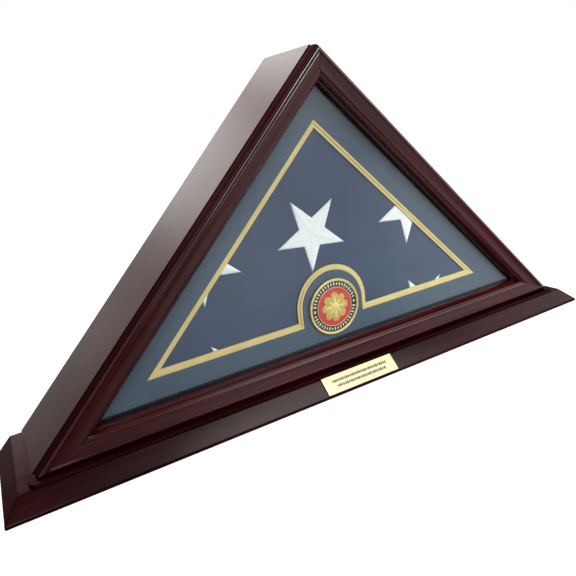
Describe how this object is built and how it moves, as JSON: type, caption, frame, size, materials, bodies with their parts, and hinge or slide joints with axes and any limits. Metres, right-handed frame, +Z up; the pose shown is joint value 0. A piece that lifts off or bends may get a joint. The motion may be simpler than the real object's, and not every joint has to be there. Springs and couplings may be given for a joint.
{
  "type": "folded flag display case",
  "caption": "Triangular wooden display case on a bevelled base, glazed front with a double mat and medallion, folded flag inside, back panel held by turn buttons.",
  "frame": {"origin": "centre of the base's underside, in the middle of the object's length and depth, on the surface it stands on", "axes": "+X along the base, the long way; +Y from the glazed front to the back panel, the short way; +Z up"},
  "size_m": [0.714, 0.1344, 0.3493],
  "materials": {
    "base_wood": "satin",
    "case_wood": "gloss",
    "frame_wood": "gloss",
    "clear_glass": "polished",
    "navy_strip": "matte",
    "blue_mat_board": "matte",
    "gold_mat_board": "satin",
    "black_enamel": "gloss",
    "gold_plate": "polished",
    "red_enamel": "gloss",
    "flag_cloth": "matte",
    "panel_board": "matte",
    "plate_brass": "satin",
    "steel": "satin",
    "button_zinc": "satin",
    "screw_brass": "satin"
  },
  "bodies": {
    "case": {"base_board": "base_wood", "base_screw_1": "steel", "base_screw_2": "steel", "base_screw_3": "steel", "case_side_left": "case_wood", "case_side_right": "case_wood", "case_bottom": "case_wood", "frame_rail_left": "frame_wood", "frame_rail_right": "frame_wood", "frame_rail_bottom": "frame_wood", "foot_bead": "frame_wood", "glass_pane": "clear_glass", "spacer_left": "navy_strip", "spacer_right": "navy_strip", "spacer_bottom": "navy_strip", "mat_top": "blue_mat_board", "mat_gold": "gold_mat_board", "medallion_disc": "black_enamel", "medallion_rim": "gold_plate", "medallion_centre": "red_enamel", "medallion_rosette": "gold_plate", "folded_flag": "flag_cloth", "nameplate": "plate_brass", "turn_button_screw_1": "screw_brass", "turn_button_screw_2": "screw_brass", "turn_button_screw_3": "screw_brass", "turn_button_screw_4": "screw_brass", "turn_button_screw_5": "screw_brass", "turn_button_screw_6": "screw_brass"},
    "back_panel": {"back_panel": "panel_board"},
    "turn_button_1": {"turn_button_1": "button_zinc"},
    "turn_button_2": {"turn_button_2": "button_zinc"},
    "turn_button_3": {"turn_button_3": "button_zinc"},
    "turn_button_4": {"turn_button_4": "button_zinc"},
    "turn_button_5": {"turn_button_5": "button_zinc"},
    "turn_button_6": {"turn_button_6": "button_zinc"}
  },
  "joints": [
    {"name": "back_panel_lift_off", "type": "slide", "parent": "case", "child": "back_panel", "axis": [0, 1, 0], "range_m": [0, 0.15]},
    {"name": "turn_button_1_pivot", "type": "hinge", "parent": "case", "child": "turn_button_1", "pos_m": [-0.22795, 0.06515, 0.11519], "axis": [0, 1, 0], "range_deg": [0, 90]},
    {"name": "turn_button_2_pivot", "type": "hinge", "parent": "case", "child": "turn_button_2", "pos_m": [-0.09769, 0.06515, 0.24544], "axis": [0, 1, 0], "range_deg": [0, 90]},
    {"name": "turn_button_3_pivot", "type": "hinge", "parent": "case", "child": "turn_button_3", "pos_m": [0.22795, 0.06515, 0.11519], "axis": [0, -1, 0], "range_deg": [0, 90]},
    {"name": "turn_button_4_pivot", "type": "hinge", "parent": "case", "child": "turn_button_4", "pos_m": [0.09769, 0.06515, 0.24544], "axis": [0, -1, 0], "range_deg": [0, 90]},
    {"name": "turn_button_5_pivot", "type": "hinge", "parent": "case", "child": "turn_button_5", "pos_m": [-0.15, 0.06515, 0.022], "axis": [0, -1, 0], "range_deg": [0, 90]},
    {"name": "turn_button_6_pivot", "type": "hinge", "parent": "case", "child": "turn_button_6", "pos_m": [0.15, 0.06515, 0.022], "axis": [0, 1, 0], "range_deg": [0, 90]}
  ]
}
